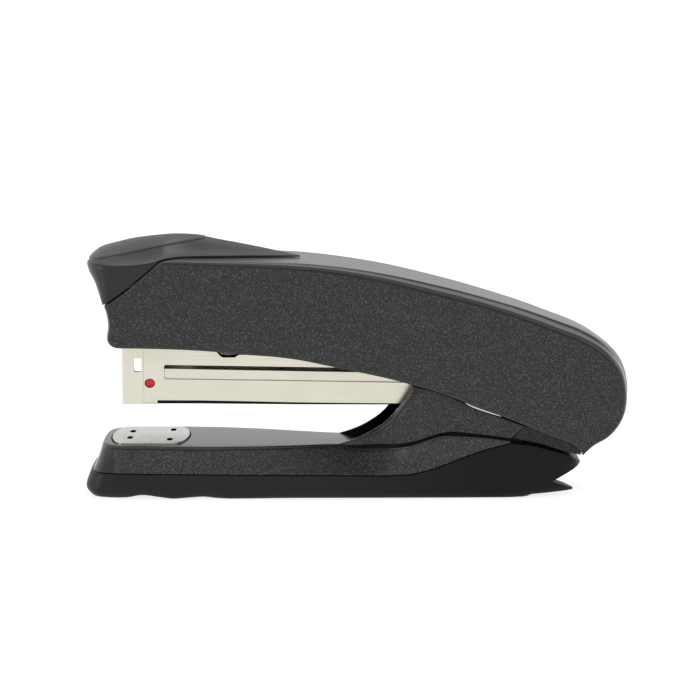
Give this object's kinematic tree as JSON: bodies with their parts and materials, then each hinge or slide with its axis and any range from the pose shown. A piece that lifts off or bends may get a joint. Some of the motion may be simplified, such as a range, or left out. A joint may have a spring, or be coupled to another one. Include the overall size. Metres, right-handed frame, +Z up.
{
  "type": "desktop stapler",
  "caption": "Full-strip desktop stapler: rounded textured handle over a steel magazine with a pull-out staple drawer, on a base with a reversible anvil and a forked heel.",
  "frame": {"origin": "bottom centre of the whole stapler's box, on the surface it stands on", "axes": "+X towards the heel (the nose and the anvil are at -X), +Y across the width, +Z up"},
  "size_m": [0.1504, 0.0368, 0.0711],
  "materials": {
    "textured_plastic": "moulded charcoal plastic with a fine granite-like sparkle grain",
    "satin_plastic": "smooth satin dark grey plastic",
    "soft_insert": "smooth matte thumb pad",
    "black_plastic": "smooth near-black plastic",
    "nickel_steel": "warm nickel-plated sheet, bright satin",
    "sheet_steel": "zinc-plated pressed sheet",
    "anvil_steel": "light satin plate with formed pockets",
    "spring_steel": "bright spring wire and strip",
    "staple_wire": "bright galvanised staple wire",
    "red_plastic": "red low-staple flag",
    "nylon": "natural nylon",
    "rubber": "matte black rubber"
  },
  "bodies": {
    "base": {"base_shoe": "black_plastic", "base_cover": "textured_plastic", "base_frame": "sheet_steel", "anvil_support": "sheet_steel", "anvil_spring": "spring_steel", "yoke_left": "textured_plastic", "yoke_right": "textured_plastic", "pivot_pin": "sheet_steel", "pivot_clip_left": "spring_steel", "pivot_clip_right": "spring_steel", "magazine_return_spring": "spring_steel", "foot_front_left": "rubber", "foot_front_right": "rubber", "foot_rear_left": "rubber", "foot_rear_right": "rubber", "base_screw_1": "sheet_steel", "base_screw_2": "sheet_steel", "base_screw_3": "sheet_steel"},
    "anvil_lift": {"anvil_post": "sheet_steel", "anvil_button": "black_plastic"},
    "anvil": {"anvil_plate": "anvil_steel"},
    "magazine": {"magazine_case": "nickel_steel", "magazine_end_block": "nylon", "pivot_bush": "nylon", "drawer_catch": "spring_steel", "handle_return_spring": "spring_steel"},
    "drawer": {"staple_drawer": "nickel_steel", "staple_rail": "sheet_steel", "guide_rod": "sheet_steel", "rail_end_block": "nylon", "staple_strip": "staple_wire", "pusher_spring": "spring_steel"},
    "pusher": {"pusher": "sheet_steel", "indicator_flag": "red_plastic"},
    "handle": {"handle_shell": "textured_plastic", "nose_cap": "satin_plastic", "nose_insert": "soft_insert", "handle_lever": "sheet_steel", "handle_tail": "textured_plastic", "driver_blade": "sheet_steel", "driver_rivet_1": "sheet_steel", "driver_rivet_2": "sheet_steel", "handle_screw_1": "sheet_steel", "handle_screw_2": "sheet_steel"}
  },
  "joints": [
    {"name": "magazine_hinge", "type": "hinge", "parent": "base", "child": "magazine", "pos_m": [0.052, 0, 0.028], "axis": [0, -1, 0], "range_deg": [0, 3.8], "stiffness_Nm_per_rad": 1, "springref_deg": -14.32, "deforming": ["magazine_return_spring"]},
    {"name": "handle_hinge", "type": "hinge", "parent": "magazine", "child": "handle", "pos_m": [0.052, 0, 0.028], "axis": [0, -1, 0], "range_deg": [0, 3.5], "stiffness_Nm_per_rad": 1.5, "springref_deg": -11.46, "deforming": ["handle_return_spring"]},
    {"name": "drawer_slide", "type": "slide", "parent": "magazine", "child": "drawer", "axis": [-1, 0, 0], "range_m": [0, 0.098]},
    {"name": "pusher_slide", "type": "slide", "parent": "drawer", "child": "pusher", "axis": [1, 0, 0], "range_m": [0, 0.062], "stiffness_N_per_m": 20, "springref_m": -0.1, "deforming": ["pusher_spring"]},
    {"name": "anvil_press", "type": "slide", "parent": "base", "child": "anvil_lift", "axis": [0, 0, 1], "range_m": [0, 0.0012], "stiffness_N_per_m": 300, "springref_m": -0.003, "deforming": ["anvil_spring"]},
    {"name": "anvil_turn", "type": "hinge", "parent": "anvil_lift", "child": "anvil", "pos_m": [-0.0575, 0, 0.0145], "axis": [0, 0, 1], "range_deg": [0, 180]}
  ]
}
